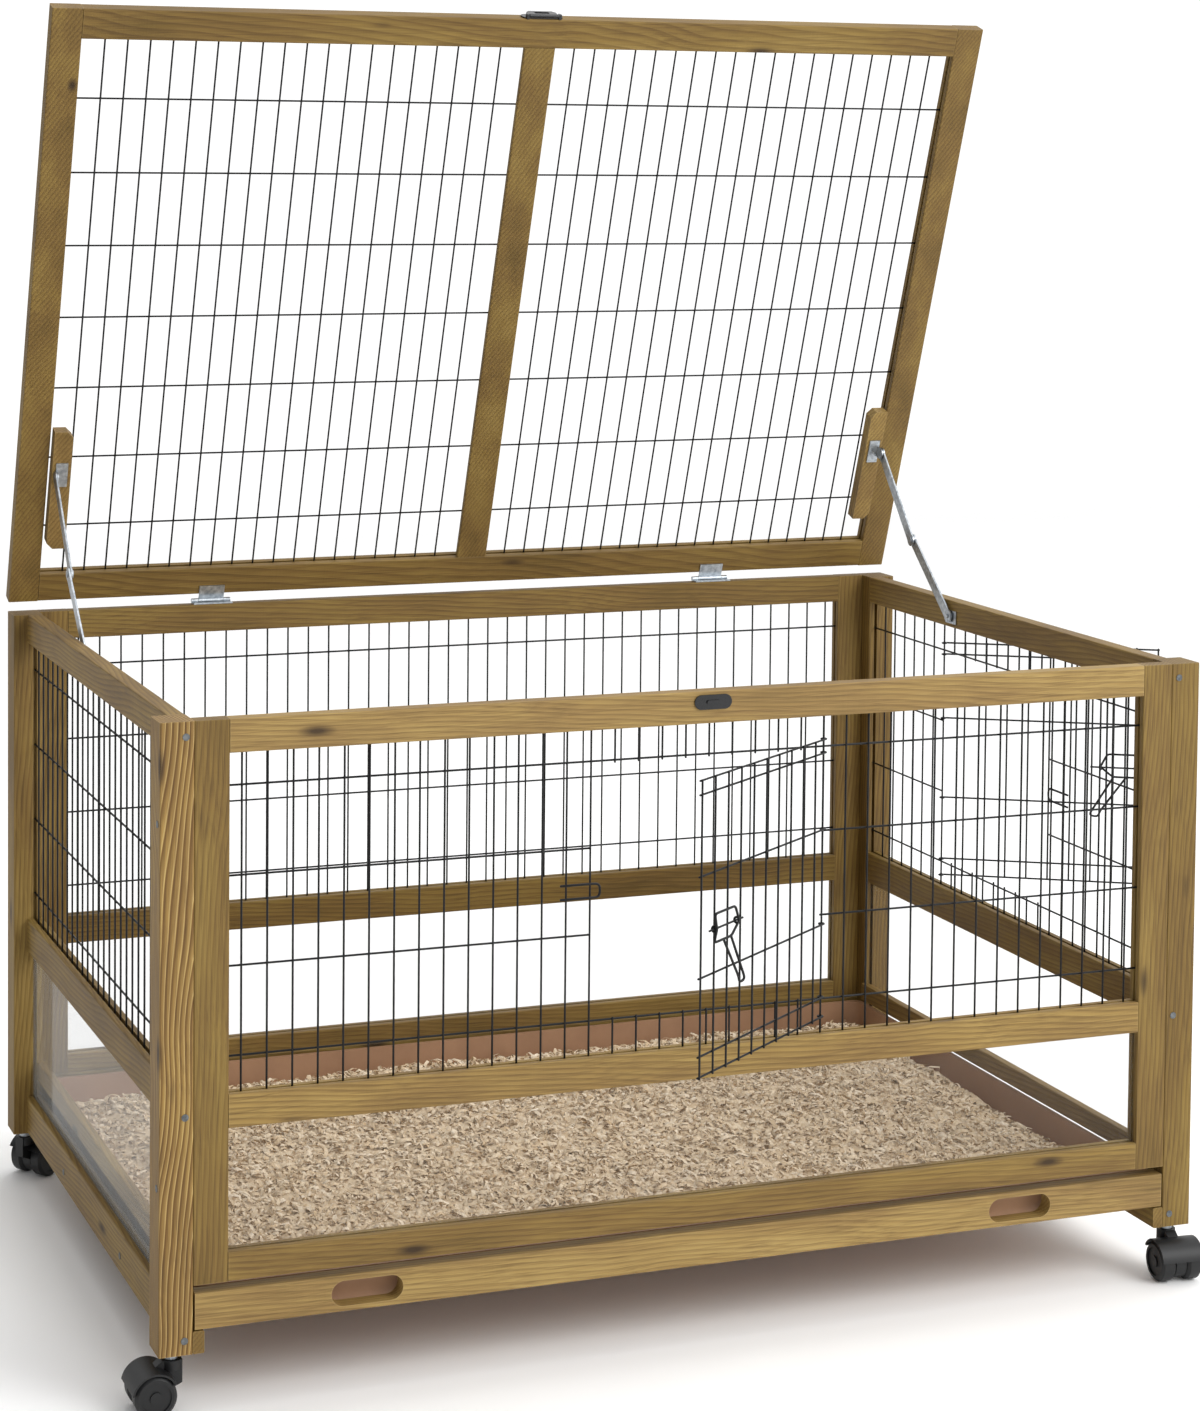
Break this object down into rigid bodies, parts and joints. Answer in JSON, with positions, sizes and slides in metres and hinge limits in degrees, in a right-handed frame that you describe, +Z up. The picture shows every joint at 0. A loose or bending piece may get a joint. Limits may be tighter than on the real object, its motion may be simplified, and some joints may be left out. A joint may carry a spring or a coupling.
{
  "type": "small animal cage",
  "caption": "Wooden indoor cage with wire mesh walls, clear lower panels, mesh doors, a propped hinged lid, a pull-out bedding drawer and swivel casters.",
  "frame": {"origin": "on the floor, under the middle of the cage's rectangular footprint", "axes": "+X to the right and +Y to the back seen from in front of the cage, +Z up"},
  "size_m": [1.3799, 0.9148, 1.3817],
  "materials": {
    "stained_pine": "satin stain on sawn pine",
    "black_wire": "satin coated wire",
    "clear_sheet": "clear polished sheet",
    "zinc_steel": "zinc plated",
    "black_steel": "black coated",
    "tray_plastic": "matte",
    "shavings": "loose wood shavings",
    "black_plastic": "matte"
  },
  "bodies": {
    "cage": {"post_front_left": "stained_pine", "post_front_right": "stained_pine", "post_rear_left": "stained_pine", "post_rear_right": "stained_pine", "front_stiles": "stained_pine", "front_top_rail": "stained_pine", "front_mid_rail": "stained_pine", "front_bottom_rail": "stained_pine", "back_stiles": "stained_pine", "back_top_rail": "stained_pine", "back_mid_rail": "stained_pine", "back_bottom_rail": "stained_pine", "back_stop_rail": "stained_pine", "left_top_rail": "stained_pine", "left_mid_rail": "stained_pine", "left_bottom_rail": "stained_pine", "right_top_rail": "stained_pine", "right_mid_rail": "stained_pine", "right_bottom_rail": "stained_pine", "sill_battens": "stained_pine", "drawer_runners": "stained_pine", "long_panes": "clear_sheet", "side_panes": "clear_sheet", "front_mesh": "black_wire", "back_mesh": "black_wire", "left_mesh": "black_wire", "right_mesh": "black_wire", "hinge_frame_leaves": "zinc_steel", "stay_side_brackets": "zinc_steel", "latch_keeper": "black_steel", "caster_stems": "zinc_steel", "frame_screws": "zinc_steel"},
    "lid": {"lid_stiles": "stained_pine", "lid_cross_rails": "stained_pine", "lid_centre_slat": "stained_pine", "lid_mesh": "black_wire", "hinge_lid_leaves": "zinc_steel", "stay_lid_brackets": "zinc_steel", "lid_stay_blocks": "stained_pine", "lid_latch": "black_steel"},
    "hasp": {"lid_latch_hasp": "black_steel"},
    "stay_lower_left": {"stay_lower_left": "zinc_steel"},
    "stay_upper_left": {"stay_upper_left": "zinc_steel"},
    "stay_lower_right": {"stay_lower_right": "zinc_steel"},
    "stay_upper_right": {"stay_upper_right": "zinc_steel"},
    "front_door": {"front_door": "black_wire"},
    "front_latch": {"front_door_latch": "black_wire"},
    "side_door": {"side_door": "black_wire"},
    "side_latch": {"side_door_latch": "black_wire"},
    "drawer": {"drawer_front": "stained_pine", "drawer_tray": "tray_plastic", "bedding": "shavings"},
    "caster_front_left": {"caster_hood_front_left": "black_plastic"},
    "wheels_front_left": {"caster_wheels_front_left": "black_plastic"},
    "caster_front_right": {"caster_hood_front_right": "black_plastic"},
    "wheels_front_right": {"caster_wheels_front_right": "black_plastic"},
    "caster_rear_left": {"caster_hood_rear_left": "black_plastic"},
    "wheels_rear_left": {"caster_wheels_rear_left": "black_plastic"},
    "caster_rear_right": {"caster_hood_rear_right": "black_plastic"},
    "wheels_rear_right": {"caster_wheels_rear_right": "black_plastic"}
  },
  "joints": [
    {"name": "lid_hinge", "type": "hinge", "parent": "cage", "child": "lid", "pos_m": [0, 0.367, 0.676], "axis": [1, 0, 0], "range_deg": [0, 70.6]},
    {"name": "hasp_hinge", "type": "hinge", "parent": "lid", "child": "hasp", "pos_m": [0, 0.11904, 1.37534], "axis": [1, 0, 0], "range_deg": [0, 180]},
    {"name": "stay_lower_left_pivot", "type": "hinge", "parent": "cage", "child": "stay_lower_left", "pos_m": [-0.537, 0.118, 0.654], "axis": [1, 0, 0], "range_deg": [-115.83, 0]},
    {"name": "stay_upper_left_pivot", "type": "hinge", "parent": "lid", "child": "stay_upper_left", "pos_m": [-0.5345, 0.29255, 0.83738], "axis": [1, 0, 0], "range_deg": [-48.25, 0]},
    {"name": "stay_lower_right_pivot", "type": "hinge", "parent": "cage", "child": "stay_lower_right", "pos_m": [0.537, 0.118, 0.654], "axis": [1, 0, 0], "range_deg": [-115.83, 0]},
    {"name": "stay_upper_right_pivot", "type": "hinge", "parent": "lid", "child": "stay_upper_right", "pos_m": [0.5345, 0.29255, 0.83738], "axis": [1, 0, 0], "range_deg": [-48.25, 0]},
    {"name": "front_door_hinge", "type": "hinge", "parent": "cage", "child": "front_door", "pos_m": [0.1295, -0.362, 0.504], "axis": [0, 0, 1], "range_deg": [-36, 129]},
    {"name": "front_latch_slide", "type": "slide", "parent": "front_door", "child": "front_latch", "axis": [-0.809, -0.5878, 0], "range_m": [0, 0.009]},
    {"name": "side_door_hinge", "type": "hinge", "parent": "cage", "child": "side_door", "pos_m": [0.551, 0.1505, 0.504], "axis": [0, 0, 1], "range_deg": [-60, 105]},
    {"name": "side_latch_slide", "type": "slide", "parent": "side_door", "child": "side_latch", "axis": [0.866, -0.5, 0], "range_m": [0, 0.009]},
    {"name": "drawer_slide", "type": "slide", "parent": "cage", "child": "drawer", "axis": [0, -1, 0], "range_m": [0, 0.56]},
    {"name": "caster_front_left_swivel", "type": "hinge", "parent": "cage", "child": "caster_front_left", "pos_m": [-0.558, -0.351, 0.05], "axis": [0, 0, 1], "continuous": true},
    {"name": "wheels_front_left_spin", "type": "hinge", "parent": "caster_front_left", "child": "wheels_front_left", "pos_m": [-0.578, -0.351, 0.021], "axis": [0, -1, 0], "continuous": true},
    {"name": "caster_front_right_swivel", "type": "hinge", "parent": "cage", "child": "caster_front_right", "pos_m": [0.558, -0.351, 0.05], "axis": [0, 0, 1], "continuous": true},
    {"name": "wheels_front_right_spin", "type": "hinge", "parent": "caster_front_right", "child": "wheels_front_right", "pos_m": [0.55626, -0.37092, 0.021], "axis": [0.9962, -0.0872, 0], "continuous": true},
    {"name": "caster_rear_left_swivel", "type": "hinge", "parent": "cage", "child": "caster_rear_left", "pos_m": [-0.558, 0.351, 0.05], "axis": [0, 0, 1], "continuous": true},
    {"name": "wheels_rear_left_spin", "type": "hinge", "parent": "caster_rear_left", "child": "wheels_rear_left", "pos_m": [-0.54162, 0.36247, 0.021], "axis": [-0.5736, 0.8192, 0], "continuous": true},
    {"name": "caster_rear_right_swivel", "type": "hinge", "parent": "cage", "child": "caster_rear_right", "pos_m": [0.558, 0.351, 0.05], "axis": [0, 0, 1], "continuous": true},
    {"name": "wheels_rear_right_spin", "type": "hinge", "parent": "caster_rear_right", "child": "wheels_rear_right", "pos_m": [0.5777, 0.35447, 0.021], "axis": [-0.1736, 0.9848, 0], "continuous": true}
  ],
  "couplings": [
    {"joint": "stay_lower_left_pivot", "follows": "lid_hinge", "ratio": -1.6336},
    {"joint": "stay_upper_left_pivot", "follows": "lid_hinge", "ratio": -0.67628},
    {"joint": "stay_lower_right_pivot", "follows": "lid_hinge", "ratio": -1.6336},
    {"joint": "stay_upper_right_pivot", "follows": "lid_hinge", "ratio": -0.67628}
  ]
}
